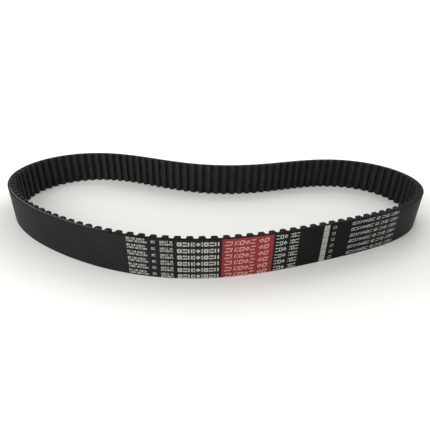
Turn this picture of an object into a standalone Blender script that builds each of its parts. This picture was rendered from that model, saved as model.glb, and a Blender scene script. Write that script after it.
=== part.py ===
"""Toothed timing belt, lying relaxed on its cut edge.

The belt has 115 teeth of 8 mm pitch and is 30 mm wide. It is built in the layers it is made
from: a nylon facing fabric over the teeth, rubber tooth cores, two helically wound glass
cords on the pitch line, a rubber back, and the thin transfer-print films on the outer face.

Frame: metres, +Z up. The belt stands on its edge at Z = 0, and the origin is the centre of
the loop's bounding box. +X runs along the long way of the loop, the printed front faces -Y.

Places on the belt are given by arc and offset. Arc is the distance along the pitch line,
counter-clockwise from above and zero near the middle of the front. Offset is the distance
from the pitch line, positive outwards.
"""

import bisect
import math

import bpy
import numpy as np

# ---- Driving dimensions -------------------------------------------------------------------
MM = 0.001
TOOTH_COUNT = 115
PITCH = 8.0 * MM
BELT_WIDTH = 30.0 * MM

TOOTH_HEIGHT = 3.2 * MM
TOOTH_BASE_WIDTH = 5.2 * MM
TOOTH_TIP_WIDTH = 3.9 * MM
FIRST_TOOTH_ARC = 6.5 * MM          # arc of the first tooth's centre

BACK_THICKNESS = 2.2 * MM           # from the land between two teeth to the outer face
PITCH_LINE_HEIGHT = 0.686 * MM      # from that land up to the cords' centres
FABRIC_THICKNESS = 0.2 * MM
WEB_THICKNESS = 0.1 * MM            # rubber skin that joins the tooth cores under the cords
CORD_DIAMETER = 0.6 * MM
CORD_LEAD = 3.0 * MM                # how far one cord climbs in a turn round the loop
CORD_TURNS = 9
FILM_THICKNESS = 0.05 * MM
LAYER_GAP = 0.04 * MM               # clearance between layers that touch on the real belt

# Relaxed shape of the loop, as waves added to the steady turn of the pitch line's heading:
# (waves in one lap, height in degrees, start in degrees). Two waves flatten the circle to an
# oval, three pinch the back inwards, and four fill out the right-hand end.
START_HEADING = 1.9
HEADING_WAVES = ((2, 36.2, -178.8), (3, 16.4, 17.2), (4, 1.7, 38.4))

STEPS_PER_PITCH = 16                # integration steps of the pitch line
FACET_SAGITTA = 0.2 * MM            # most that a facet's chord may leave the smooth loop
CORD_SIDES = 4
SMOOTH_ANGLE = 30.0                 # edges sharper than this stay sharp

# ---- Derived sizes ------------------------------------------------------------------------
LOOP_LENGTH = TOOTH_COUNT * PITCH
LAND = -PITCH_LINE_HEIGHT
FABRIC_TOP = LAND + FABRIC_THICKNESS
WEB_BOTTOM = FABRIC_TOP + LAYER_GAP
WEB_TOP = WEB_BOTTOM + WEB_THICKNESS
CORD_RADIUS = CORD_DIAMETER / 2
BACK_BOTTOM = CORD_RADIUS + LAYER_GAP
BACK_TOP = BACK_THICKNESS - PITCH_LINE_HEIGHT
FILM_BOTTOM = BACK_TOP + LAYER_GAP
FILM_TOP = FILM_BOTTOM + FILM_THICKNESS
CORD_SPACING = CORD_LEAD / 2        # the two cords lie side by side

# ---- Transfer-print films: first arc, last arc, lowest and highest point (mm) --------------
PRINT_FILMS = {
    "print_note_block": (-59.5, -45.5, 0.6, 28.4),
    "print_code_column": (-43.0, -39.8, 0.6, 28.4),
    "print_origin_block": (-37.2, -28.6, 0.6, 28.4),
    "print_word_rows": (-26.2, 1.2, 0.6, 28.4),
    "print_red_panel": (2.7, 38.6, 0.3, 29.7),
    "print_size_rows": (39.8, 58.0, 0.6, 28.4),
    "print_batch_strip": (76.6, 82.2, 0.3, 29.7),
    "print_letter_column": (85.2, 88.2, 0.6, 28.4),
    "print_standard_rows": (101.8, 150.0, 2.6, 27.8),
}


# ---- The pitch line -----------------------------------------------------------------------
def heading(arc, closing):
    """Direction of travel at an arc, in radians. closing is the once-a-lap wave (cos, sin)."""
    lap = 2 * np.pi * arc / LOOP_LENGTH
    angle = math.radians(START_HEADING) + lap
    for waves, height, start in HEADING_WAVES:
        angle = angle + math.radians(height) * np.sin(waves * lap + math.radians(start))
    return angle + closing[0] * np.cos(lap) + closing[1] * np.sin(lap)


def closing_wave():
    """The once-a-lap wave that makes the loop end where it starts, by Newton's method."""
    count = TOOTH_COUNT * STEPS_PER_PITCH
    arc = (np.arange(count) + 0.5) * LOOP_LENGTH / count
    lap = 2 * np.pi * arc / LOOP_LENGTH
    wave = np.zeros(2)
    for _ in range(10):
        angle = heading(arc, wave)
        miss = np.array([np.cos(angle).mean(), np.sin(angle).mean()])
        slope = np.array([
            [-(np.sin(angle) * np.cos(lap)).mean(), -(np.sin(angle) * np.sin(lap)).mean()],
            [(np.cos(angle) * np.cos(lap)).mean(), (np.cos(angle) * np.sin(lap)).mean()],
        ])
        wave = wave - np.linalg.solve(slope, miss)
    return wave


class PitchLine:
    """The pitch line as flat facets, which every layer of the belt shares.

    Facets meet only above tooth centres and land centres, closer together where the loop
    bends more. Layers offset from the same facets stay parallel, so their gaps hold."""

    def __init__(self):
        closing = closing_wave()
        count = TOOTH_COUNT * STEPS_PER_PITCH
        step = LOOP_LENGTH / count
        angle = heading((np.arange(count) + 0.5) * step, closing)
        x = np.concatenate([[0.0], np.cumsum(np.cos(angle) * step)])
        y = np.concatenate([[0.0], np.cumsum(np.sin(angle) * step)])

        every = STEPS_PER_PITCH // 2
        chosen = self.choose_stations(closing)
        self.arcs = [FIRST_TOOTH_ARC + k * PITCH / 2 for k in chosen]
        first = FIRST_TOOTH_ARC / step
        fine = np.mod(np.array(chosen) * every + first, count)
        points = np.stack([np.interp(fine, np.arange(count + 1), axis) for axis in (x, y)], axis=1)

        along = np.roll(points, -1, axis=0) - points
        along /= np.linalg.norm(along, axis=1)[:, None]
        outward = np.stack([along[:, 1], -along[:, 0]], axis=1)
        before = np.roll(outward, 1, axis=0)
        spread = 1 + np.sum(before * outward, axis=1)
        self.mitres = (before + outward) / spread[:, None]

        face = points + BACK_TOP * self.mitres
        self.points = points - (face.min(axis=0) + face.max(axis=0)) / 2

    @staticmethod
    def choose_stations(closing):
        """Half-pitch steps, counted from the first tooth, at which one facet meets the next."""
        stations = [0]
        for k in range(1, 2 * TOOTH_COUNT):
            start = FIRST_TOOTH_ARC + stations[-1] * PITCH / 2
            end = FIRST_TOOTH_ARC + (k + 1) * PITCH / 2
            turn = abs(heading(end, closing) - heading(start, closing))
            if (end - start) * turn / 8 > FACET_SAGITTA:
                stations.append(k)
        return stations

    def place(self, arc, offset):
        """The point in plan at an arc and an offset from the pitch line."""
        local = (arc - self.arcs[0]) % LOOP_LENGTH + self.arcs[0]
        k = bisect.bisect_right(self.arcs, local + 1e-12) - 1
        following = (k + 1) % len(self.arcs)
        end = self.arcs[following] if following else self.arcs[0] + LOOP_LENGTH
        share = (local - self.arcs[k]) / (end - self.arcs[k])
        point = self.points[k] * (1 - share) + self.points[following] * share
        mitre = self.mitres[k] * (1 - share) + self.mitres[following] * share
        return point + offset * mitre

    def stations_between(self, first, last):
        """Arcs of the facet joints strictly inside a stretch, which may start below zero."""
        inside = []
        for lap in (-1, 0, 1):
            shifted = (arc + lap * LOOP_LENGTH for arc in self.arcs)
            inside += [arc for arc in shifted if first < arc < last]
        return sorted(inside)


# ---- Outlines: lists of (arc, offset) round the whole loop ---------------------------------
def tooth_outline(line, inset):
    """The toothed inner outline, moved by inset from the belt's surface into the rubber."""
    lean = math.atan2((TOOTH_BASE_WIDTH - TOOTH_TIP_WIDTH) / 2, TOOTH_HEIGHT)
    shrink = inset * (1 - math.sin(lean)) / math.cos(lean)
    base = TOOTH_BASE_WIDTH / 2 - shrink
    tip = TOOTH_TIP_WIDTH / 2 - shrink
    land = LAND + inset
    profile = ((-base, land), (-tip, land - TOOTH_HEIGHT), (tip, land - TOOTH_HEIGHT), (base, land))
    outline = []
    for tooth in range(TOOTH_COUNT):
        centre = FIRST_TOOTH_ARC + tooth * PITCH
        outline += [(centre + across, offset) for across, offset in profile]
    corners = [arc for arc, _ in outline]
    offsets = [offset for _, offset in outline]
    for arc in line.arcs:
        offset = np.interp(arc, corners, offsets, period=LOOP_LENGTH)
        outline.append((arc, float(offset)))
    return sorted(outline)


def smooth_outline(line, offset, with_tooth_corners=False):
    """An outline at one offset, with a point at each facet joint and, where it faces teeth,
    at both corners of each tooth's base."""
    arcs = list(line.arcs)
    if with_tooth_corners:
        for tooth in range(TOOTH_COUNT):
            centre = FIRST_TOOTH_ARC + tooth * PITCH
            arcs += [centre - TOOTH_BASE_WIDTH / 2, centre + TOOTH_BASE_WIDTH / 2]
    return [(arc, offset) for arc in sorted(arcs)]


# ---- Solids --------------------------------------------------------------------------------
def material(name, colour, roughness):
    """A Principled material with one colour and roughness."""
    made = bpy.data.materials.new(name)
    made.use_nodes = True
    shader = made.node_tree.nodes["Principled BSDF"]
    shader.inputs["Base Color"].default_value = (*colour, 1.0)
    shader.inputs["Roughness"].default_value = roughness
    shader.inputs["Metallic"].default_value = 0.0
    return made


def add_object(name, vertices, faces, finish):
    """A smooth-shaded mesh object from vertices and faces."""
    mesh = bpy.data.meshes.new(name)
    mesh.from_pydata([tuple(float(c) for c in vertex) for vertex in vertices], [], faces)
    mesh.validate()
    mesh.shade_smooth()
    mesh.set_sharp_from_angle(angle=math.radians(SMOOTH_ANGLE))
    mesh.materials.append(finish)
    piece = bpy.data.objects.new(name, mesh)
    bpy.context.scene.collection.objects.link(piece)
    return piece


def annulus_triangles(outer, inner):
    """Triangles between two outlines, as ((side, index), ...) with side 0 outer and 1 inner.

    Each step moves on along whichever outline is behind, so no triangle leaves the ring."""
    triangles = []
    i = 0
    j = 0
    while i < len(outer) or j < len(inner):
        outer_arc = outer[(i + 1) % len(outer)][0] + LOOP_LENGTH * ((i + 1) // len(outer))
        inner_arc = inner[(j + 1) % len(inner)][0] + LOOP_LENGTH * ((j + 1) // len(inner))
        here = ((0, i % len(outer)), (1, j % len(inner)))
        if j >= len(inner) or (i < len(outer) and outer_arc <= inner_arc):
            i += 1
            triangles.append((here[0], (0, i % len(outer)), here[1]))
        else:
            j += 1
            triangles.append((here[0], (1, j % len(inner)), here[1]))
    return triangles


def add_ring(name, line, outer, inner, finish):
    """A closed band the width of the belt between an outer and an inner outline."""
    plan = [line.place(*spot) for spot in outer + inner]
    vertices = [(x, y, 0.0) for x, y in plan] + [(x, y, BELT_WIDTH) for x, y in plan]
    top = len(plan)
    first_inner = len(outer)

    faces = []
    for k in range(len(outer)):
        following = (k + 1) % len(outer)
        faces.append((k, following, following + top, k + top))
    for k in range(len(inner)):
        here = first_inner + k
        following = first_inner + (k + 1) % len(inner)
        faces.append((following, here, here + top, following + top))
    for triangle in annulus_triangles(outer, inner):
        corners = [index + side * first_inner for side, index in triangle]
        faces.append(tuple(corner + top for corner in corners))
        faces.append(tuple(reversed(corners)))
    return add_object(name, vertices, faces, finish)


def add_cord(name, line, start_height, finish):
    """One tension cord: a tube wound round the pitch line, climbing by its lead each turn."""
    stations = len(line.arcs)
    ring = [2 * math.pi * side / CORD_SIDES for side in range(CORD_SIDES)]
    vertices = []
    for step in range(CORD_TURNS * stations + 1):
        turn, k = divmod(step, stations)
        travelled = turn * LOOP_LENGTH + line.arcs[k] - line.arcs[0]
        height = start_height + CORD_LEAD * travelled / LOOP_LENGTH
        for angle in ring:
            x, y = line.place(line.arcs[k], CORD_RADIUS * math.cos(angle))
            vertices.append((x, y, height + CORD_RADIUS * math.sin(angle)))

    faces = []
    for step in range(CORD_TURNS * stations):
        base = step * CORD_SIDES
        for side in range(CORD_SIDES):
            following = (side + 1) % CORD_SIDES
            faces.append((base + following, base + side,
                          base + CORD_SIDES + side, base + CORD_SIDES + following))
    last = CORD_TURNS * stations * CORD_SIDES
    faces.append(tuple(range(CORD_SIDES)))
    faces.append(tuple(reversed(range(last, last + CORD_SIDES))))
    return add_object(name, vertices, faces, finish)


def add_film(name, line, first, last, low, high, finish):
    """A thin print film on the outer face, following the facets under it."""
    arcs = [first, *line.stations_between(first, last), last]
    vertices = []
    for arc in arcs:
        for offset, height in ((FILM_BOTTOM, low), (FILM_TOP, low), (FILM_TOP, high), (FILM_BOTTOM, high)):
            x, y = line.place(arc, offset)
            vertices.append((x, y, height))
    faces = [(0, 1, 2, 3)]
    for step in range(len(arcs) - 1):
        base = 4 * step
        for side in range(4):
            following = (side + 1) % 4
            faces.append((base + following, base + side, base + 4 + side, base + 4 + following))
    end = 4 * (len(arcs) - 1)
    faces.append((end + 3, end + 2, end + 1, end))
    return add_object(name, vertices, faces, finish)


# ---- The belt's pieces ---------------------------------------------------------------------
def facing_fabric(line):
    """Nylon fabric that lines the teeth and the lands between them."""
    finish = material("facing_fabric", (0.018, 0.018, 0.019), 0.75)
    add_ring("facing_fabric", line, tooth_outline(line, FABRIC_THICKNESS), tooth_outline(line, 0.0), finish)


def tooth_rubber(line):
    """Rubber tooth cores, joined under the cords by a thin web."""
    finish = material("tooth_rubber", (0.014, 0.014, 0.015), 0.6)
    outer = smooth_outline(line, WEB_TOP, with_tooth_corners=True)
    add_ring("tooth_rubber", line, outer, tooth_outline(line, FABRIC_THICKNESS + LAYER_GAP), finish)


def tension_cords(line):
    """Two glass cords of opposite twist, wound side by side across the belt's width."""
    pack = CORD_TURNS * CORD_LEAD + CORD_SPACING
    lowest = (BELT_WIDTH - pack) / 2
    add_cord("tension_cord_s", line, lowest, material("tension_cord_s", (0.55, 0.50, 0.38), 0.5))
    add_cord("tension_cord_z", line, lowest + CORD_SPACING, material("tension_cord_z", (0.60, 0.56, 0.44), 0.5))


def backing_rubber(line):
    """The belt's rubber back, outside the cords."""
    finish = material("backing_rubber", (0.026, 0.028, 0.028), 0.5)
    add_ring("backing_rubber", line, smooth_outline(line, BACK_TOP), smooth_outline(line, BACK_BOTTOM), finish)


def print_films(line):
    """Transfer-print films on the outer face: one red panel, the others greyish white."""
    for name, (first, last, low, high) in PRINT_FILMS.items():
        colour = (0.29, 0.022, 0.032) if name == "print_red_panel" else (0.50, 0.50, 0.45)
        add_film(name, line, first * MM, last * MM, low * MM, high * MM, material(name, colour, 0.55))


def main():
    """Clear the scene and build the belt."""
    for leftover in list(bpy.data.objects):
        bpy.data.objects.remove(leftover, do_unlink=True)
    line = PitchLine()
    facing_fabric(line)
    tooth_rubber(line)
    tension_cords(line)
    backing_rubber(line)
    print_films(line)


main()
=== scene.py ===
"""The finished look of the timing belt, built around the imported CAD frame.

The belt's layers are rebuilt as fine meshes on the same pitch line as the CAD: a rubber back,
rubber tooth cores, a woven facing fabric, two glass cords and the printed marks. Places on the
belt are given by arc (distance along the pitch line, counter-clockwise from above, zero near
the middle of the front), offset (distance outwards from the pitch line) and height. Lengths
are in millimetres until a mesh is made, which is in metres.
"""

import math

import bpy
import numpy as np
from mathutils import Euler, Matrix, Vector


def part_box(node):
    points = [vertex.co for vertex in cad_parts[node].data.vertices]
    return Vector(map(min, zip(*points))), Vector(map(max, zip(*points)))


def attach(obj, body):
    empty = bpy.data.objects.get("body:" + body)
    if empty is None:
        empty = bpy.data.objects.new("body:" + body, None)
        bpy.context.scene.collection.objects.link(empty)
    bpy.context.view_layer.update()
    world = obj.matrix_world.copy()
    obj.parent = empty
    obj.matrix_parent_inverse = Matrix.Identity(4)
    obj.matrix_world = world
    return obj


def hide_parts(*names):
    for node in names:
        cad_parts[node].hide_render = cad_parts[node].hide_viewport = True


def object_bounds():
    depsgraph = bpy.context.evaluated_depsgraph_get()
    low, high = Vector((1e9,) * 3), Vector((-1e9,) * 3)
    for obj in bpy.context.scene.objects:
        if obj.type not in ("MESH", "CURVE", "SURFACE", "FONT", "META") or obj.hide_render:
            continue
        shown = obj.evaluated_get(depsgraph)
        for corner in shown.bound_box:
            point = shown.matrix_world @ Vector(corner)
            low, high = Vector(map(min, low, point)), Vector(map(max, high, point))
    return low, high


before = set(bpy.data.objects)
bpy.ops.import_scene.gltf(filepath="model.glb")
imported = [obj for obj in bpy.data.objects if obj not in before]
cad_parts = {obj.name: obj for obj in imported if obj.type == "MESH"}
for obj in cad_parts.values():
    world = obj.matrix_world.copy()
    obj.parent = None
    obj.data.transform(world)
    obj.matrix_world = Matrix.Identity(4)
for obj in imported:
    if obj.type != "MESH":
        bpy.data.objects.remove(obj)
CAD_LOW, CAD_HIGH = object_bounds()

# ---- The belt's section, as in the CAD (mm) ------------------------------------------------
MM = 0.001
TOOTH_COUNT = 115
PITCH = 8.0
LOOP_LENGTH = TOOTH_COUNT * PITCH
BELT_WIDTH = 30.0
FIRST_TOOTH_ARC = 6.5
TOOTH_HEIGHT = 3.2
TOOTH_BASE_WIDTH = 5.2
TOOTH_TIP_WIDTH = 3.9
TIP_RADIUS = 1.0
ROOT_RADIUS = 0.6
BACK_THICKNESS = 2.2
PITCH_LINE_HEIGHT = 0.686
FABRIC_THICKNESS = 0.2
CORD_RADIUS = 0.3
CORD_LEAD = 3.0                     # how far one turn of a cord climbs
LAND = -PITCH_LINE_HEIGHT
BACK_TOP = BACK_THICKNESS - PITCH_LINE_HEIGHT

# ---- What only the visual model has (mm) ----------------------------------------------------
BACK_STEP = 1.0                     # along the belt between the back's stations
BACK_EDGE_RADIUS = 0.22
FABRIC_EDGE_RADIUS = 0.08
CORD_STEP = 4.0                     # along the belt between a cord's rings
CORD_SIDES = 8
CORD_PROUD = 0.01                   # a sawn cord's height above the top edge
FIRST_CORD_LOW = 0.42               # height of the S-twist cord where it first passes arc zero
SHARP_ANGLE = 32.0                  # degrees between two faces, past which their edge is sharp

# ---- The relaxed loop, as in the CAD: waves in a lap, height and start in degrees -----------
START_HEADING = 1.9
HEADING_WAVES = ((2, 36.2, -178.8), (3, 16.4, 17.2), (4, 1.7, 38.4))
STEPS_PER_PITCH = 32
NEWTON_STEPS = 10

# ---- The printed marks (mm) -----------------------------------------------------------------
ROW_COUNT = 6
ROW_PITCH = 4.97
FIRST_ROW_DROP = 3.4                # from the top edge down to the first row's middle
FILM_THICKNESS = 0.03
FILM_BITE = 0.02                    # how far a mark's underside reaches into the rubber
PRINT_MARGIN = 0.06                 # bare rubber left at both cut edges
LEFT_SLIDE = 0.65                   # from their CAD films, of the marks left of the red panel
RIGHT_SLIDE = 0.3                   # and of most marks right of it
UPPER_LINE_RISE = 1.1               # from a fine row's middle to the middles of its two lines
LOWER_LINE_RISE = -0.8
FINE_LINE = {"height": 1.3, "stroke": 0.3}

# ---- The floor, a flat disc in a round bowl (m, degrees) ------------------------------------
FLOOR_RINGS = (0.0, 0.25, 0.5, 1.0)
FLOOR_SWEEP = 2.8
FLOOR_SWEEP_STEPS = 24
FLOOR_SIDES = 96

# ---- The camera, from the loop's middle on the floor (mm, degrees) --------------------------
CAMERA_PLACE = (0.3, -274.9, 142.8)
CAMERA_DOWN = 27.0
CAMERA_LEFT = 0.23
CAMERA_ROLL = 1.44
CAMERA_LENS = 28.69
SENSOR_WIDTH = 36.0


# =============================================================================================
# The pitch line
# =============================================================================================
def heading(arc, closing):
    """Direction of travel at an arc, in radians. closing is the once-a-lap wave (cos, sin)."""
    lap = 2 * np.pi * arc / LOOP_LENGTH
    angle = math.radians(START_HEADING) + lap
    for waves, height, start in HEADING_WAVES:
        angle = angle + math.radians(height) * np.sin(waves * lap + math.radians(start))
    return angle + closing[0] * np.cos(lap) + closing[1] * np.sin(lap)


def closing_wave(arc):
    """The once-a-lap wave that makes the loop end where it starts, by Newton's method."""
    lap = 2 * np.pi * arc / LOOP_LENGTH
    wave = np.zeros(2)
    for _ in range(NEWTON_STEPS):
        angle = heading(arc, wave)
        miss = np.array([np.cos(angle).mean(), np.sin(angle).mean()])
        slope = np.array([
            [-(np.sin(angle) * np.cos(lap)).mean(), -(np.sin(angle) * np.sin(lap)).mean()],
            [(np.cos(angle) * np.cos(lap)).mean(), (np.cos(angle) * np.sin(lap)).mean()],
        ])
        wave = wave - np.linalg.solve(slope, miss)
    return wave


class Loop:
    """The pitch line as a smooth closed curve, centred on the CAD model's box."""

    def __init__(self):
        count = TOOTH_COUNT * STEPS_PER_PITCH
        step = LOOP_LENGTH / count
        middles = (np.arange(count) + 0.5) * step
        closing = closing_wave(middles)
        angle = heading(middles, closing)
        x = np.concatenate([[0.0], np.cumsum(np.cos(angle) * step)])
        y = np.concatenate([[0.0], np.cumsum(np.sin(angle) * step)])
        self.arcs = np.arange(count + 1) * step
        angle = heading(self.arcs, closing)
        self.normals = np.stack([np.sin(angle), -np.cos(angle)], axis=1)
        points = np.stack([x, y], axis=1)
        face = points + BACK_TOP * self.normals
        centre = np.array([CAD_LOW.x + CAD_HIGH.x, CAD_LOW.y + CAD_HIGH.y]) / 2 / MM
        self.points = points + centre - (face.min(axis=0) + face.max(axis=0)) / 2

    def place(self, arc, offset):
        """Plan positions (n, 2) for arrays of arcs and offsets."""
        arc = np.mod(np.asarray(arc, float), LOOP_LENGTH)
        offset = np.asarray(offset, float)
        columns = []
        for axis in range(2):
            point = np.interp(arc, self.arcs, self.points[:, axis])
            normal = np.interp(arc, self.arcs, self.normals[:, axis])
            columns.append(point + offset * normal)
        return np.stack(columns, axis=-1)

    def front_arc(self, x):
        """The arc, negative left of zero, where the outer face's front passes an X position."""
        reach = 200.0
        arcs = np.arange(-reach, reach, 0.5)
        face = self.place(arcs, np.full(len(arcs), BACK_TOP))
        return float(np.interp(x, face[:, 0], arcs))


# =============================================================================================
# Meshes
# =============================================================================================
def add_piece(name, vertices, faces, finish, replaced, uv=None):
    """A smooth-shaded piece that rides on the belt and stands for a CAD node.

    uv gives each face's corners their place along the surface and across it."""
    mesh = bpy.data.meshes.new(name)
    mesh.from_pydata((np.asarray(vertices, float) * MM).tolist(), [], faces)
    if uv is not None:
        layer = mesh.uv_layers.new(name="surface")
        layer.data.foreach_set("uv", (np.asarray(uv, float) * MM).ravel())
    mesh.shade_smooth()
    mesh.set_sharp_from_angle(angle=math.radians(SHARP_ANGLE))
    mesh.materials.append(finish)
    piece = bpy.data.objects.new(name, mesh)
    bpy.context.scene.collection.objects.link(piece)
    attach(piece, "root")
    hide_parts(replaced)
    return piece


def band_mesh(loop, inner, outer, layout):
    """A closed band swept round the loop.

    inner and outer are (arc, offset) arrays with a row for each station. layout lists the
    section's points counter-clockwise as (share, height): share 0 is on inner, 1 on outer."""
    stations = len(inner)
    columns = len(layout)
    vertices = []
    for share, height in layout:
        spot = inner * (1 - share) + outer * share
        plan = loop.place(spot[:, 0], spot[:, 1])
        vertices.append(np.column_stack([plan, np.full(stations, height)]))
    vertices = np.stack(vertices, axis=1).reshape(-1, 3)

    along = surface_distance(loop, inner)
    across = section_distance(layout, inner, outer)
    faces = []
    uv = []
    for i in range(stations):
        following = (i + 1) % stations
        for j in range(columns):
            beside = (j + 1) % columns
            faces.append((i * columns + j, following * columns + j,
                          following * columns + beside, i * columns + beside))
            uv += [(along[i], across[j]), (along[i + 1], across[j]),
                   (along[i + 1], across[j + 1]), (along[i], across[j + 1])]
    return vertices, faces, uv


def surface_distance(loop, outline):
    """Distance along a closed (arc, offset) outline at each station, and the whole length."""
    plan = loop.place(outline[:, 0], outline[:, 1])
    steps = np.linalg.norm(np.roll(plan, -1, axis=0) - plan, axis=1)
    return np.concatenate([[0.0], np.cumsum(steps)])


def section_distance(layout, inner, outer):
    """Distance round the section at each of its points, and the whole way round."""
    thickness = float(np.linalg.norm(outer[0] - inner[0]))
    spots = np.array([(share * thickness, height) for share, height in layout])
    steps = np.linalg.norm(np.roll(spots, -1, axis=0) - spots, axis=1)
    return np.concatenate([[0.0], np.cumsum(steps)])


def rounded_layout(thickness, inner_radius, outer_radius, steps=4):
    """Section points, counter-clockwise, of a band with rounded corners on its two cut edges."""
    corners = (
        (outer_radius, 1.0, BELT_WIDTH, 0.0),
        (inner_radius, 0.0, BELT_WIDTH, 90.0),
        (inner_radius, 0.0, 0.0, 180.0),
        (outer_radius, 1.0, 0.0, 270.0),
    )
    layout = []
    for radius, share, height, start in corners:
        if radius == 0:
            layout.append((share, height))
            continue
        middle_share = share + (radius if share == 0 else -radius) / thickness
        middle_height = height + (radius if height == 0 else -radius)
        for k in range(steps + 1):
            angle = math.radians(start + 90 * k / steps)
            layout.append((middle_share + radius * math.cos(angle) / thickness,
                           middle_height + radius * math.sin(angle)))
    return layout


def tooth_profile():
    """One tooth from the middle of a land to the next: (across, depth) and unit normals.

    Normals point from the belt's surface into the rubber."""
    lean = math.atan2((TOOTH_BASE_WIDTH - TOOTH_TIP_WIDTH) / 2, TOOTH_HEIGHT)
    turn = math.pi / 2 - lean
    reach = math.tan(turn / 2)
    land_point = -0.44 * PITCH
    points = [(-PITCH / 2, 0.0), (land_point, 0.0)]
    normals = [(0.0, 1.0), (0.0, 1.0)]

    root_steps = 5
    start = -TOOTH_BASE_WIDTH / 2 - ROOT_RADIUS * reach
    for k in range(root_steps + 1):
        angle = turn * k / root_steps
        points.append((start + ROOT_RADIUS * math.sin(angle),
                       -ROOT_RADIUS * (1 - math.cos(angle))))
        normals.append((math.sin(angle), math.cos(angle)))

    tip_steps = 6
    end = -TOOTH_TIP_WIDTH / 2 + TIP_RADIUS * reach
    for k in range(tip_steps + 1):
        angle = turn * (1 - k / tip_steps)
        points.append((end - TIP_RADIUS * math.sin(angle),
                       -TOOTH_HEIGHT + TIP_RADIUS * (1 - math.cos(angle))))
        normals.append((math.sin(angle), math.cos(angle)))
    points.append((0.0, -TOOTH_HEIGHT))
    normals.append((0.0, 1.0))

    points += [(-across, depth) for across, depth in reversed(points[1:-1])]
    normals += [(-across, depth) for across, depth in reversed(normals[1:-1])]
    return np.array(points), np.array(normals)


def tooth_outline(inset):
    """The toothed outline of the whole belt, moved by inset into the rubber."""
    points, normals = tooth_profile()
    profile = points + normals * inset
    centres = FIRST_TOOTH_ARC + PITCH * np.arange(TOOTH_COUNT)
    arcs = (centres[:, None] + profile[None, :, 0]).ravel()
    offsets = np.tile(LAND + profile[:, 1], TOOTH_COUNT)
    return np.column_stack([arcs, offsets])


# =============================================================================================
# Materials. Colours are linear red, green, blue and alpha. Places and bump heights are in
# metres, and a noise's scale is in features a metre.
# =============================================================================================
class Finish:
    """A material under construction: a node tree with one Principled shader."""

    def __init__(self, name, roughness=0.5, **settings):
        self.material = bpy.data.materials.new(name)
        self.material.use_nodes = True
        self.tree = self.material.node_tree
        self.shader = self.tree.nodes["Principled BSDF"]
        self.shader.inputs["Roughness"].default_value = roughness
        for socket, value in settings.items():
            self.shader.inputs[socket.replace("_", " ")].default_value = value

    def node(self, kind, inputs=None, **settings):
        """A new node with its settings, and with its inputs set to values or linked."""
        made = self.tree.nodes.new(kind)
        for key, value in settings.items():
            setattr(made, key, value)
        for socket, value in (inputs or {}).items():
            if isinstance(value, bpy.types.NodeSocket):
                self.tree.links.new(value, made.inputs[socket])
            else:
                made.inputs[socket].default_value = value
        return made

    def wear(self, socket, value):
        """Links an output to one of the shader's inputs."""
        self.tree.links.new(value, self.shader.inputs[socket])

    def object_place(self):
        """Position on the object, in metres."""
        return self.node("ShaderNodeTexCoord").outputs["Object"]

    def surface_place(self, stretch=(1.0, 1.0, 1.0)):
        """Position along and across the surface in metres, stretched on each axis."""
        uv = self.node("ShaderNodeUVMap", uv_map="surface").outputs["UV"]
        return self.node("ShaderNodeMapping", {"Vector": uv, "Scale": stretch}).outputs["Vector"]

    def noise(self, place, scale, detail=4.0, roughness=0.55):
        """A noise value from 0 to 1 over a place."""
        made = self.node("ShaderNodeTexNoise", {"Vector": place, "Scale": scale,
                                                "Detail": detail, "Roughness": roughness})
        return made.outputs["Fac"]

    def span(self, value, low, high, to_low=0.0, to_high=1.0):
        """Maps a value from one range to another, clamped."""
        made = self.node("ShaderNodeMapRange", {"Value": value, "From Min": low, "From Max": high,
                                                "To Min": to_low, "To Max": to_high})
        return made.outputs["Result"]

    def math(self, operation, first, second=0.0):
        """A Math node's output."""
        made = self.node("ShaderNodeMath", {0: first, 1: second}, operation=operation)
        return made.outputs["Value"]

    def mix(self, share, first, second):
        """A mix of two colours by a share."""
        made = self.node("ShaderNodeMix", data_type="RGBA")
        for index, value in ((0, share), (6, first), (7, second)):
            if isinstance(value, bpy.types.NodeSocket):
                self.tree.links.new(value, made.inputs[index])
            else:
                made.inputs[index].default_value = value
        return made.outputs[2]

    def bump(self, height, distance, strength=1.0, onto=None):
        """A normal from a height, on top of an earlier one."""
        inputs = {"Height": height, "Distance": distance, "Strength": strength}
        if onto is not None:
            inputs["Normal"] = onto
        return self.node("ShaderNodeBump", inputs).outputs["Normal"]


def cut_share(finish):
    """1 on the sawn edges, which face up or down, and 0 on the faces."""
    normal = finish.node("ShaderNodeNewGeometry").outputs["Normal"]
    upright = finish.node("ShaderNodeSeparateXYZ", {0: normal}).outputs["Z"]
    return finish.span(finish.math("ABSOLUTE", upright), 0.35, 0.75)


def dust_and_painted_light_share(finish, place):
    """Dust in patches on the cut edges, and painted light: thick at the loop's left end, thin from
    its middle on.
    """
    along = finish.node("ShaderNodeSeparateXYZ", {0: place}).outputs["X"]
    # painted light: the share rises towards the loop's left end
    more_at_left = finish.span(along, -0.17, 0.0, 0.55, -0.15)
    patches = finish.noise(place, 30.0, 3.0, 0.6)
    return finish.span(finish.math("ADD", patches, more_at_left), 0.45, 0.95)


def sawn_edge(finish, place):
    """Colour and height of a sawn edge: dusty in patches, lighter towards the loop's left end as
    painted light, with crumbs and fine saw marks.
    """
    clean = (0.0045, 0.0049, 0.0047, 1)
    dusty_and_lit_colour = (0.0150, 0.0156, 0.0138, 1)
    crumb = (0.104, 0.104, 0.0918, 1)
    dust_and_light = dust_and_painted_light_share(finish, place)
    crumbs = finish.span(finish.noise(place, 1500.0, 3.0, 0.7), 0.60, 0.78)
    rubber = finish.mix(dust_and_light, clean, dusty_and_lit_colour)
    crumbled = finish.math("MULTIPLY", crumbs, finish.span(dust_and_light, 0.0, 1.0, 0.08, 0.4))
    colour = finish.mix(crumbled, rubber, crumb)
    return colour, finish.noise(place, 1900.0, 2.0)


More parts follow.
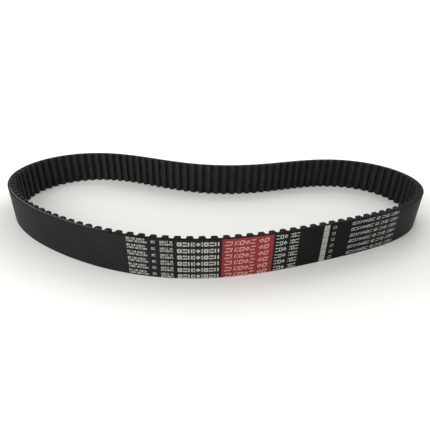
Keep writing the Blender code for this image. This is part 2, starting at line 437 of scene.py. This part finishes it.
def painted_shade_share(finish, place):
    """Painted shade: a darker stretch of the back, on the front right of the size rows."""
    parts = finish.node("ShaderNodeSeparateXYZ", {0: place}).outputs
    begins = finish.span(parts["X"], 0.02, 0.07, 0.0, 0.75)
    fades = finish.span(parts["X"], 0.105, 0.13, 1.0, 0.2)
    in_front = finish.span(parts["Y"], -0.01, 0.05, 1.0, 0.0)
    return finish.math("MULTIPLY", finish.math("MULTIPLY", begins, fades), in_front)


def ground_colour(finish, place, grinding, scuffed):
    """Colour of the ground back: cloudy, lighter on the ground ridges and in the scuffs, with
    painted shade on the front right of the size rows.
    """
    hollows = ((0.0104, 0.0118, 0.0118, 1), (0.0148, 0.0163, 0.0160, 1))
    ridges = ((0.0148, 0.0164, 0.0162, 1), (0.0205, 0.0222, 0.0214, 1))
    painted_shade_colour = (0.0052, 0.0062, 0.0062, 1)
    scuff = (0.037, 0.0385, 0.037, 1)
    cloudy = finish.span(finish.noise(place, 22.0, 3.0), 0.3, 0.7)
    base = finish.mix(finish.span(grinding, 0.36, 0.66),
                      finish.mix(cloudy, *hollows), finish.mix(cloudy, *ridges))
    # painted shade: the back darker on the front right of the size rows
    base = finish.mix(painted_shade_share(finish, place), base, painted_shade_colour)
    return finish.mix(finish.math("MULTIPLY", scuffed, 0.5), base, scuff)


def back_rubber():
    """Ground black rubber with fine scratches along the belt, and sawn at its edges."""
    finish = Finish("back_rubber", Specular_IOR_Level=0.025)
    place = finish.object_place()
    grain = finish.noise(place, 2600.0, 2.0)
    grinding = finish.noise(finish.surface_place((55.0, 4200.0, 1.0)), 1.0, 3.0, 0.6)
    scuffs = finish.noise(finish.surface_place((160.0, 1100.0, 1.0)), 1.0, 5.0, 0.65)
    scuffed = finish.span(scuffs, 0.58, 0.80)
    edge, sawn = sawn_edge(finish, place)
    cut = cut_share(finish)

    base = ground_colour(finish, place, grinding, scuffed)
    finish.wear("Base Color", finish.mix(cut, base, edge))
    rougher = finish.math("MULTIPLY", finish.math("MAXIMUM", scuffed, cut), 0.14)
    rough = finish.math("ADD", finish.span(grinding, 0.3, 0.7, 0.42, 0.54), rougher)
    finish.wear("Roughness", rough)
    normal = finish.bump(grinding, 0.00004, 0.6)
    normal = finish.bump(finish.math("MULTIPLY", sawn, cut), 0.00006, 0.6, normal)
    finish.wear("Normal", finish.bump(grain, 0.00002, 0.5, normal))
    return finish.material


def core_rubber():
    """Sawn rubber of the tooth cores, seen only on the cut edges."""
    finish = Finish("core_rubber", roughness=0.62, Specular_IOR_Level=0.05)
    edge, sawn = sawn_edge(finish, finish.object_place())
    finish.wear("Base Color", edge)
    finish.wear("Roughness", finish.span(sawn, 0.3, 0.7, 0.55, 0.7))
    finish.wear("Normal", finish.bump(sawn, 0.00006, 0.6))
    return finish.material


def twill(finish):
    """Height of a fine twill, from 0 in its gaps to 1 on its threads."""
    threads = []
    for angle in (45.0, -45.0):
        rotation = (0.0, 0.0, math.radians(angle))
        turned = finish.node("ShaderNodeMapping", {"Vector": finish.surface_place(),
                                                   "Rotation": rotation}).outputs["Vector"]
        wave = finish.node("ShaderNodeTexWave",
                           {"Vector": turned, "Scale": 550.0, "Distortion": 0.6,
                            "Detail": 1.0, "Detail Scale": 2.0},
                           wave_type="BANDS", bands_direction="X", wave_profile="SIN")
        threads.append(wave.outputs["Fac"])
    return finish.math("MULTIPLY", threads[0], threads[1])


def crest_wear_and_painted_light_share(finish, place, along):
    """Wear on the tooth crests, cloudy, with painted light making it strongest at the loop's left
    end.
    """
    crest = finish.node("ShaderNodeAttribute", attribute_name="crest").outputs["Fac"]
    cloudy = finish.span(finish.noise(place, 35.0, 3.0), 0.25, 0.75, 0.45, 1.0)
    wear_and_light = finish.math("MULTIPLY", finish.span(crest, 0.70, 1.0), cloudy)
    # painted light: the crests lighter towards the loop's left end
    return finish.math("MULTIPLY", wear_and_light, finish.span(along, -0.09, 0.0, 1.0, 0.4))


def dye_and_painted_shade_colour(finish, place, along, weave):
    """The dyed fabric's colour: cool black, with warmer patches towards the loop's left end;
    painted shade makes the weave's gaps darker than its threads.
    """
    cool = ((0.0072, 0.0090, 0.0093, 1), (0.0205, 0.0240, 0.0245, 1))
    warm = ((0.0104, 0.0103, 0.0096, 1), (0.0258, 0.0255, 0.0238, 1))
    more_at_left = finish.math("MULTIPLY", along, -1.5)
    patches = finish.math("ADD", finish.noise(place, 16.0, 2.0), more_at_left)
    warmth = finish.span(patches, 0.48, 0.66)
    # painted shade: the weave's gaps darker than its threads
    gaps = finish.mix(warmth, cool[0], warm[0])
    threads = finish.mix(warmth, cool[1], warm[1])
    return finish.mix(weave, gaps, threads)


def facing_nylon():
    """Black woven nylon: worn crests, lighter towards the loop's left end as painted light,
    painted shade in the weave's gaps, patches dulled by handling, and specks of lint.
    """
    polished_shaded_gap = (0.0158, 0.0173, 0.0170, 1)
    polished_thread = (0.0292, 0.0318, 0.0312, 1)
    handled = (0.0400, 0.0400, 0.0392, 1)
    lint = (0.0888, 0.0858, 0.0799, 1)
    finish = Finish("facing_nylon", Specular_IOR_Level=0.13)
    place = finish.object_place()
    along = finish.node("ShaderNodeSeparateXYZ", {0: place}).outputs["X"]
    weave = twill(finish)
    wear_and_light = crest_wear_and_painted_light_share(finish, place, along)

    base = dye_and_painted_shade_colour(finish, place, along, weave)
    # painted shade: the polished weave's gaps darker than its threads
    polished = finish.mix(weave, polished_shaded_gap, polished_thread)
    base = finish.mix(finish.math("MULTIPLY", wear_and_light, 0.8), base, polished)
    touched = finish.span(finish.noise(place, 190.0, 3.0, 0.6), 0.56, 0.74, 0.0, 0.5)
    base = finish.mix(touched, base, handled)
    specks = finish.span(finish.noise(place, 900.0, 4.0, 0.7), 0.66, 0.85, 0.0, 0.4)
    finish.wear("Base Color", finish.mix(specks, base, lint))
    finish.wear("Roughness", finish.span(wear_and_light, 0.0, 1.0, 0.72, 0.55))
    finish.wear("Normal", finish.bump(weave, 0.00006, 0.8))
    return finish.material


def glass_cord(name, lay):
    """Twisted glass cord, bared where the cut edges are dusty and, as painted light, towards the
    loop's left end, and smeared with rubber elsewhere.

    lay is 1 for one twist and -1 for the other."""
    shadow = (0.0666, 0.0651, 0.0577, 1)
    strand = (0.155, 0.152, 0.136, 1)
    smeared = (0.0163, 0.0160, 0.0148, 1)
    finish = Finish(name, Specular_IOR_Level=0.4)
    dust_and_light = dust_and_painted_light_share(finish, finish.object_place())
    place = finish.surface_place((1.0, lay, 1.0))
    wave = finish.node("ShaderNodeTexWave", {"Vector": place, "Scale": 260.0, "Distortion": 0.4},
                       wave_type="BANDS", bands_direction="DIAGONAL", wave_profile="SIN")
    strands = wave.outputs["Fac"]
    fibre = finish.noise(place, 3000.0, 2.0)
    # painted light: the cord bared and lighter towards the loop's left end
    finish.wear("Base Color", finish.mix(dust_and_light, smeared, finish.mix(strands, shadow, strand)))
    finish.wear("Roughness", finish.span(fibre, 0.3, 0.7, 0.4, 0.6))
    finish.wear("Normal", finish.bump(strands, 0.00005, 0.8))
    return finish.material


def print_ink(name, colour, worn_colour):
    """Thin transfer print: patchy ink, thinner in places where the rubber shows through."""
    finish = Finish(name, Specular_IOR_Level=0.24)
    place = finish.object_place()
    patches = finish.noise(place, 420.0, 4.0, 0.6)
    grain = finish.noise(place, 3400.0, 2.0)
    thin = finish.math("MULTIPLY", finish.span(patches, 0.50, 0.72),
                       finish.span(grain, 0.35, 0.65))
    finish.wear("Base Color", finish.mix(finish.math("MULTIPLY", thin, 0.55), colour, worn_colour))
    finish.wear("Roughness", finish.span(patches, 0.3, 0.7, 0.48, 0.62))
    finish.wear("Normal", finish.bump(grain, 0.000015, 0.5))
    return finish.material


def fine_white_ink():
    """White ink of the smallest lines."""
    return print_ink("fine_white_ink", (0.479, 0.479, 0.435, 1), (0.239, 0.239, 0.220, 1))


def bold_white_ink():
    """White ink of the bold rows, laid on thinner."""
    return print_ink("bold_white_ink", (0.353, 0.343, 0.299, 1), (0.176, 0.176, 0.151, 1))


def grey_ink():
    """Pale grey ink of the other rows and the narrow strip."""
    return print_ink("grey_ink", (0.384, 0.384, 0.353, 1), (0.164, 0.164, 0.154, 1))


def red_ink():
    """Red ink of the panel."""
    return print_ink("red_ink", (0.198, 0.0170, 0.0208, 1), (0.145, 0.0164, 0.0195, 1))


def pale_ink():
    """Pale pink ink of the shapes on the red panel, where the red shows through."""
    return print_ink("pale_ink", (0.485, 0.252, 0.224, 1), (0.328, 0.101, 0.0958, 1))


def floor_finish():
    """Pale matt card that glows outside an oval round the belt, brighter further out: painted
    light, which leaves the floor inside the loop darker.
    """
    card = ((0.72, 0.72, 0.695, 1), (0.75, 0.75, 0.725, 1))
    finish = Finish("floor_card", roughness=0.85, Emission_Color=(1.0, 1.0, 0.99, 1.0))
    place = finish.object_place()
    oval = finish.node("ShaderNodeMapping", {"Vector": place, "Scale": (1.0, 2.0, 1.0)})
    distance = finish.node("ShaderNodeVectorMath", {0: oval.outputs["Vector"]},
                           operation="LENGTH").outputs["Value"]
    near_glow = finish.span(distance, 0.17, 0.36, 0.0, 0.36)
    far_glow = finish.span(distance, 0.36, 2.5, 0.0, 0.30)
    finish.wear("Emission Strength", finish.math("ADD", near_glow, far_glow))
    finish.wear("Base Color", finish.mix(finish.noise(place, 3.0, 2.0), *card))
    finish.wear("Normal", finish.bump(finish.noise(place, 700.0, 3.0), 0.00005, 0.2))
    return finish.material


# =============================================================================================
# The belt's layers
# =============================================================================================
def add_back(loop):
    """The rubber back, from the pitch line out, with its cut edges slightly rounded."""
    arcs = np.arange(0.0, LOOP_LENGTH, BACK_STEP)
    inner = np.column_stack([arcs, np.zeros(len(arcs))])
    outer = np.column_stack([arcs, np.full(len(arcs), BACK_TOP)])
    layout = rounded_layout(BACK_TOP, 0.0, BACK_EDGE_RADIUS)
    vertices, faces, uv = band_mesh(loop, inner, outer, layout)
    add_piece("belt_back", vertices, faces, back_rubber(), "backing_rubber", uv)


def add_tooth_cores(loop):
    """Rubber between the fabric and the pitch line, seen only on the cut edges."""
    inner = tooth_outline(FABRIC_THICKNESS)
    outer = np.column_stack([inner[:, 0], np.zeros(len(inner))])
    layout = rounded_layout(1.0, 0.0, 0.0)
    vertices, faces, uv = band_mesh(loop, inner, outer, layout)
    add_piece("tooth_cores", vertices, faces, core_rubber(), "tooth_rubber", uv)


def add_facing(loop):
    """The woven jacket over teeth and lands."""
    inner = tooth_outline(0.0)
    outer = tooth_outline(FABRIC_THICKNESS)
    layout = rounded_layout(FABRIC_THICKNESS, FABRIC_EDGE_RADIUS, 0.0, steps=3)
    vertices, faces, uv = band_mesh(loop, inner, outer, layout)
    piece = add_piece("fabric_facing", vertices, faces, facing_nylon(),
                      "facing_fabric", uv)
    depth = np.repeat((LAND - inner[:, 1]) / TOOTH_HEIGHT, len(layout))
    crest = piece.data.attributes.new("crest", "FLOAT", "POINT")
    crest.data.foreach_set("value", depth.astype(np.float32))


def add_cord(loop, name, node, low, lay):
    """One tension cord, wound from edge to edge and cut off at both edges.

    low is the height at which the cord crosses arc zero. It is 0.33 mm less than in the CAD, so
    that the top edge bares the first cord along the left end of the loop."""
    overrun = 0.65 * CORD_RADIUS
    start = (-overrun - low) / CORD_LEAD
    end = (BELT_WIDTH + overrun - low) / CORD_LEAD
    turns = np.arange(start, end, CORD_STEP / LOOP_LENGTH)
    ring = 2 * np.pi * np.arange(CORD_SIDES) / CORD_SIDES
    arcs = np.repeat(turns * LOOP_LENGTH, CORD_SIDES)
    plan = loop.place(arcs, np.tile(CORD_RADIUS * np.cos(ring), len(turns)))
    middles = np.repeat(low + CORD_LEAD * turns, CORD_SIDES)
    heights = middles + np.tile(CORD_RADIUS * np.sin(ring), len(turns))
    vertices = np.column_stack([plan, np.clip(heights, 0.0, BELT_WIDTH + CORD_PROUD)])
    faces, uv = cord_faces((turns - start) * LOOP_LENGTH)
    add_piece(name, vertices, faces, glass_cord(name, lay), node, uv)


def cord_faces(along):
    """Faces and surface places of a cord with its rings at these distances along it."""
    side_width = 2 * math.pi * CORD_RADIUS / CORD_SIDES
    faces = []
    uv = []
    for i in range(len(along) - 1):
        ring = i * CORD_SIDES
        following = ring + CORD_SIDES
        for j in range(CORD_SIDES):
            beside = (j + 1) % CORD_SIDES
            faces.append((ring + beside, ring + j, following + j, following + beside))
            uv += [(along[i], (j + 1) * side_width), (along[i], j * side_width),
                   (along[i + 1], j * side_width), (along[i + 1], (j + 1) * side_width)]
    last = (len(along) - 1) * CORD_SIDES
    faces.append(tuple(range(CORD_SIDES)))
    faces.append(tuple(reversed(range(last, last + CORD_SIDES))))
    uv += [(0.0, 0.0)] * (2 * CORD_SIDES)
    return faces, uv


# =============================================================================================
# The printed marks: rows of placeholder shapes, with no letters or numbers
# =============================================================================================
class Marks:
    """Thin raised patches on the outer face, gathered into one mesh."""

    def __init__(self, loop, raised=0.0):
        self.loop = loop
        self.low = BACK_TOP - FILM_BITE
        self.high = BACK_TOP + raised + FILM_THICKNESS
        self.vertices = []
        self.faces = []

    def add_points(self, outline, offset):
        """Adds an outline's points at an offset and returns their indices."""
        base = len(self.vertices)
        top = BELT_WIDTH - PRINT_MARGIN
        heights = [min(max(height, PRINT_MARGIN), top) for _, height in outline]
        plan = self.loop.place([arc for arc, _ in outline], [offset] * len(outline))
        self.vertices += [(x, y, height) for (x, y), height in zip(plan, heights)]
        return list(range(base, base + len(outline)))

    def both_sides(self, outline):
        """Adds an outline on a patch's underside and on its face."""
        return self.add_points(outline, self.low), self.add_points(outline, self.high)

    def block(self, outline):
        """A solid patch over a convex outline of (arc, height), counter-clockwise from outside."""
        under, over = self.both_sides(outline)
        self.faces.append(tuple(over))
        self.faces.append(tuple(reversed(under)))
        self.wall(under, over)

    def ring(self, outline, hole):
        """A patch with a hole, from two outlines with the same number of points."""
        under, over = self.both_sides(outline)
        hole_under, hole_over = self.both_sides(hole)
        count = len(outline)
        for k in range(count):
            beside = (k + 1) % count
            self.faces.append((over[k], over[beside], hole_over[beside], hole_over[k]))
            self.faces.append((under[beside], under[k], hole_under[k], hole_under[beside]))
        self.wall(under, over)
        self.wall(hole_over, hole_under)

    def wall(self, under, over):
        """The side faces between two matching outlines."""
        for k in range(len(under)):
            beside = (k + 1) % len(under)
            self.faces.append((under[k], under[beside], over[beside], over[k]))

    def panel(self, left, right, low, high):
        """A wide patch that follows the curve of the face."""
        arcs = np.linspace(left, right, max(2, round(right - left) + 1))
        outline = [(arc, low) for arc in arcs] + [(arc, high) for arc in reversed(arcs)]
        under, over = self.both_sides(outline)
        last = len(outline) - 1
        for k in range(len(arcs) - 1):
            self.faces.append((over[k], over[k + 1], over[last - k - 1], over[last - k]))
            self.faces.append((under[k + 1], under[k], under[last - k], under[last - k - 1]))
        self.wall(under, over)

    def finish(self, name, material, node, slot="print_white"):
        """The gathered patches as one piece."""
        add_piece(name, self.vertices, self.faces, material, node)


def clipped_box(left, right, low, high, corner, lean):
    """A box's outline with clipped corners. lean is (base height, mm along for each mm up)."""
    base, slope = lean
    points = ((left + corner, low), (right - corner, low), (right, low + corner),
              (right, high - corner), (right - corner, high), (left + corner, high),
              (left, high - corner), (left, low + corner))
    return [(arc + slope * (height - base), height) for arc, height in points]


def diamond(centre, low, high, half, lean):
    """A diamond's outline. half is half its length along the belt."""
    base, slope = lean
    middle = (low + high) / 2
    points = ((centre, low), (centre + half, middle), (centre, high), (centre - half, middle))
    return [(arc + slope * (height - base), height) for arc, height in points]


def draw_shape(marks, kind, left, right, low, high, stroke, lean):
    """One placeholder shape, drawn in bars of one stroke: o a hollow box, | an upright bar,
    " two upright bars, = two level bars, : two squares, * a hollow diamond."""
    width = right - left
    centre = (left + right) / 2
    corner = min(0.3 * stroke, width / 4)
    bar = min(stroke, width * 0.36)

    def solid(start, end, bottom, top):
        marks.block(clipped_box(start, end, bottom, top, corner, lean))

    if kind == "|":
        half = min(stroke, width) / 2
        solid(centre - half, centre + half, low, high)
    elif kind == '"':
        solid(left, left + bar, low, high)
        solid(right - bar, right, low, high)
    elif kind == "=":
        solid(left, right, low, low + stroke)
        solid(left, right, high - stroke, high)
    elif kind == ":":
        side = min(1.3 * stroke, (high - low) * 0.4)
        solid(centre - side / 2, centre + side / 2, low, low + side)
        solid(centre - side / 2, centre + side / 2, high - side, high)
    elif kind == "o":
        box = clipped_box(left, right, low, high, corner * 1.6, lean)
        hole = clipped_box(left + bar, right - bar, low + stroke, high - stroke,
                           corner * 0.5, lean)
        marks.ring(box, hole)
    else:
        half = width / 2 + 0.1
        hole = diamond(centre, low + 1.3 * stroke, high - 1.3 * stroke, half - 1.3 * bar, lean)
        marks.ring(diamond(centre, low, high, half, lean), hole)


# Widths of the narrow shapes and the space in a run, where every other shape is 1 wide.
SHAPE_WIDTHS = {"|": 0.42, ":": 0.5, " ": 0.55}


def draw_run(marks, left, right, middle, height, stroke, pattern, slope=0.0):
    """A run of placeholder shapes that fills the arc from left to right.

    slope is how far the shapes lean along the belt for each mm up."""
    unit = (right - left) / sum(SHAPE_WIDTHS.get(kind, 1.0) for kind in pattern)
    space = min(0.26 * unit, 0.45)
    low = middle - height / 2
    high = low + height
    place = left
    for kind in pattern:
        width = SHAPE_WIDTHS.get(kind, 1.0) * unit
        if kind != " ":
            end = place + width - space
            draw_shape(marks, kind, place, end, low, high, stroke, (low, slope))
        place += width


def row_middles(rise):
    """Heights of a block's row middles, from the top row down. rise moves the block up."""
    top_row = BELT_WIDTH - FIRST_ROW_DROP + rise
    return [top_row - ROW_PITCH * row for row in range(ROW_COUNT)]


def film_span(loop, node, slide):
    """First and last arc for the marks on a CAD print film, moved along the belt by slide."""
    low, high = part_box(node)
    return loop.front_arc(low.x / MM) + slide, loop.front_arc(high.x / MM) + slide


def add_note_block(loop, ink):
    """Two small lines in each row."""
    left, right = film_span(loop, "print_note_block", LEFT_SLIDE)
    marks = Marks(loop)
    for middle in row_middles(0.85):
        draw_run(marks, left, right - 1.3, middle + UPPER_LINE_RISE,
                 pattern='o" =|o ":o=*', slope=0.12, **FINE_LINE)
        draw_run(marks, left, right, middle + LOWER_LINE_RISE,
                 pattern='=:o"| |o:=|=o"', slope=0.12, **FINE_LINE)
    marks.finish("marks_note", ink, "print_note_block")


def add_code_column(loop, ink):
    """One small run of three shapes in each row."""
    left, right = film_span(loop, "print_code_column", LEFT_SLIDE)
    marks = Marks(loop)
    for middle in row_middles(0.9):
        draw_run(marks, left + 0.2, right - 0.2, middle, height=1.9, stroke=0.46, pattern='o"=')
    marks.finish("marks_code", ink, "print_code_column")


def add_origin_block(loop, ink):
    """Two short lines in each row."""
    left, right = film_span(loop, "print_origin_block", LEFT_SLIDE)
    marks = Marks(loop)
    for middle in row_middles(0.4):
        draw_run(marks, left, right - 0.4, middle + UPPER_LINE_RISE,
                 pattern='"o=|= :o', slope=0.08, **FINE_LINE)
        draw_run(marks, left, right, middle + LOWER_LINE_RISE,
                 pattern='o=:"o*=', slope=0.08, **FINE_LINE)
    marks.finish("marks_origin", ink, "print_origin_block")


def add_word_rows(loop, ink):
    """Six rows of bold shapes."""
    left, right = film_span(loop, "print_word_rows", LEFT_SLIDE)
    marks = Marks(loop)
    for middle in row_middles(0.15):
        draw_run(marks, left, right, middle, height=3.0, stroke=0.98, pattern='o=":*:o="')
    marks.finish("marks_words", ink, "print_word_rows")


def add_red_panel(loop, red, ink):
    """A red panel from edge to edge, with six rows of leaning shapes on it."""
    left, right = film_span(loop, "print_red_panel", 0.0)
    panel = Marks(loop)
    panel.panel(left + LEFT_SLIDE, right, PRINT_MARGIN, BELT_WIDTH - PRINT_MARGIN)
    panel.finish("red_panel", red, "print_red_panel", slot="print_red")
    marks = Marks(loop, raised=FILM_THICKNESS)
    for middle in row_middles(-0.1):
        draw_run(marks, left + 2.2, right - 3.6, middle,
                 height=3.2, stroke=0.74, pattern='=":o*= *o', slope=0.3)
    marks.finish("red_panel_marks", ink, "print_red_panel")


def add_size_rows(loop, ink):
    """Six rows of two short runs."""
    left, right = film_span(loop, "print_size_rows", RIGHT_SLIDE)
    marks = Marks(loop)
    for middle in row_middles(0.5):
        draw_run(marks, left, right, middle, height=3.0, stroke=0.60, pattern='=o* :o=')
    marks.finish("marks_size", ink, "print_size_rows")


def add_batch_strip(loop, ink):
    """A narrow strip from edge to edge, in two columns of hollow boxes, in pairs of rows."""
    box_heights = (2.5, 2.1)
    row_gaps = (0.14, 0.34)
    column_gap = 0.2
    left, right = film_span(loop, "print_batch_strip", RIGHT_SLIDE)
    left += 0.8
    right -= 0.25
    split = (left + right) / 2
    columns = ((left, split - column_gap / 2), (split + column_gap / 2, right))
    marks = Marks(loop)
    low = PRINT_MARGIN
    row = 0
    while low < BELT_WIDTH - PRINT_MARGIN - 0.5:
        high = min(low + box_heights[row % 2], BELT_WIDTH - PRINT_MARGIN)
        for start, end in columns:
            draw_shape(marks, "o", start, end, low, high, stroke=0.7, lean=(low, 0.0))
        low = high + row_gaps[row % 2]
        row += 1
    marks.finish("marks_batch", ink, "print_batch_strip")


def add_letter_column(loop, ink):
    """One small hollow box in each row."""
    left, right = film_span(loop, "print_letter_column", 0.0)
    marks = Marks(loop)
    for middle in row_middles(0.65):
        draw_run(marks, left + 0.3, right + 0.4, middle, height=2.1, stroke=0.27, pattern="o")
    marks.finish("marks_column", ink, "print_letter_column")


def add_standard_rows(loop, ink):
    """Six rows of smaller leaning shapes."""
    left, right = film_span(loop, "print_standard_rows", RIGHT_SLIDE)
    marks = Marks(loop)
    for middle in row_middles(0.85):
        draw_run(marks, left, right, middle,
                 height=2.3, stroke=0.48, pattern='o=|:"|*o|= |o ="o :=o"', slope=0.22)
    marks.finish("marks_standard", ink, "print_standard_rows")


def add_marks(loop):
    """All the printed marks, from left to right."""
    fine_white = fine_white_ink()
    bold_white = bold_white_ink()
    grey = grey_ink()
    red = red_ink()
    pale = pale_ink()
    add_note_block(loop, fine_white)
    add_code_column(loop, grey)
    add_origin_block(loop, fine_white)
    add_word_rows(loop, bold_white)
    add_red_panel(loop, red, pale)
    add_size_rows(loop, grey)
    add_batch_strip(loop, grey)
    add_letter_column(loop, grey)
    add_standard_rows(loop, grey)


# =============================================================================================
# Stage
# =============================================================================================
def add_floor():
    """A pale round floor that sweeps up into a backdrop all the way round."""
    rings = list(FLOOR_RINGS)
    heights = [0.0] * len(rings)
    for k in range(1, FLOOR_SWEEP_STEPS + 1):
        angle = math.radians(90.0 * k / FLOOR_SWEEP_STEPS)
        rings.append(FLOOR_RINGS[-1] + FLOOR_SWEEP * math.sin(angle))
        heights.append(FLOOR_SWEEP * (1 - math.cos(angle)))
    turn = 2 * np.pi * np.arange(FLOOR_SIDES) / FLOOR_SIDES
    vertices = [(0.0, 0.0, 0.0)]
    for ring, height in zip(rings[1:], heights[1:]):
        vertices += [(ring * math.cos(angle), ring * math.sin(angle), height) for angle in turn]
    mesh = bpy.data.meshes.new("floor")
    mesh.from_pydata(vertices, [], floor_faces(len(rings) - 1))
    mesh.shade_smooth()
    mesh.materials.append(floor_finish())
    floor = bpy.data.objects.new("floor", mesh)
    bpy.context.scene.collection.objects.link(floor)


def floor_faces(ring_count):
    """Triangles round the floor's middle point, then four-sided faces from ring to ring."""
    faces = [(0, 1 + k, 1 + (k + 1) % FLOOR_SIDES) for k in range(FLOOR_SIDES)]
    for row in range(ring_count - 1):
        inner = 1 + row * FLOOR_SIDES
        outer = inner + FLOOR_SIDES
        for k in range(FLOOR_SIDES):
            beside = (k + 1) % FLOOR_SIDES
            faces.append((inner + k, outer + k, outer + beside, inner + beside))
    return faces


def add_light(name, kind, place, target, strength, size):
    """A soft light at a place, aimed at a target. size is metres across, or a sun's angle."""
    data = bpy.data.lights.new(name, kind)
    data.energy = strength
    if kind == "SUN":
        data.angle = math.radians(size)
    else:
        data.shape = "SQUARE"
        data.size = size
    light = bpy.data.objects.new(name, data)
    bpy.context.scene.collection.objects.link(light)
    light.location = place
    light.rotation_euler = (Vector(target) - Vector(place)).to_track_quat("-Z", "Y").to_euler()


def add_lights():
    """A broad overhead sun, softboxes at the front left and high behind, an even surround."""
    middle = (0.0, 0.0, 0.0)
    add_light("overhead", "SUN", (-0.15, 0.2, 2.0), middle, strength=0.70, size=70.0)
    add_light("front_left_softbox", "AREA", (-0.42, -0.42, 0.42), (-0.05, 0.0, 0.0),
              strength=2.5, size=0.4)
    add_light("rear_softbox", "AREA", (0.25, 0.60, 0.65), middle, strength=3.4, size=0.6)
    world = bpy.data.worlds.new("surround")
    world.use_nodes = True
    surround = world.node_tree.nodes["Background"].inputs
    surround["Color"].default_value = (1.0, 1.0, 1.0, 1.0)
    surround["Strength"].default_value = 0.17
    bpy.context.scene.world = world
    bpy.context.scene.view_settings.view_transform = "Standard"


def add_camera():
    """The camera, a little above the belt and close in front of it."""
    data = bpy.data.cameras.new("camera")
    data.lens = CAMERA_LENS
    data.sensor_width = SENSOR_WIDTH
    data.clip_start = 0.01
    camera = bpy.data.objects.new("camera", data)
    bpy.context.scene.collection.objects.link(camera)
    camera.location = tuple(value * MM for value in CAMERA_PLACE)
    look = Euler((math.radians(90.0 - CAMERA_DOWN), 0.0, math.radians(CAMERA_LEFT))).to_matrix()
    roll = Matrix.Rotation(math.radians(CAMERA_ROLL), 3, "Z")
    camera.rotation_euler = (look @ roll).to_euler()
    bpy.context.scene.camera = camera


def main():
    """Builds the belt's looks and its stage."""
    loop = Loop()
    add_camera()
    add_lights()
    add_floor()
    add_back(loop)
    add_tooth_cores(loop)
    add_facing(loop)
    add_cord(loop, "cord_s_twist", "tension_cord_s", FIRST_CORD_LOW, lay=1.0)
    second_low = FIRST_CORD_LOW + CORD_LEAD / 2
    add_cord(loop, "cord_z_twist", "tension_cord_z", second_low, lay=-1.0)
    add_marks(loop)


main()
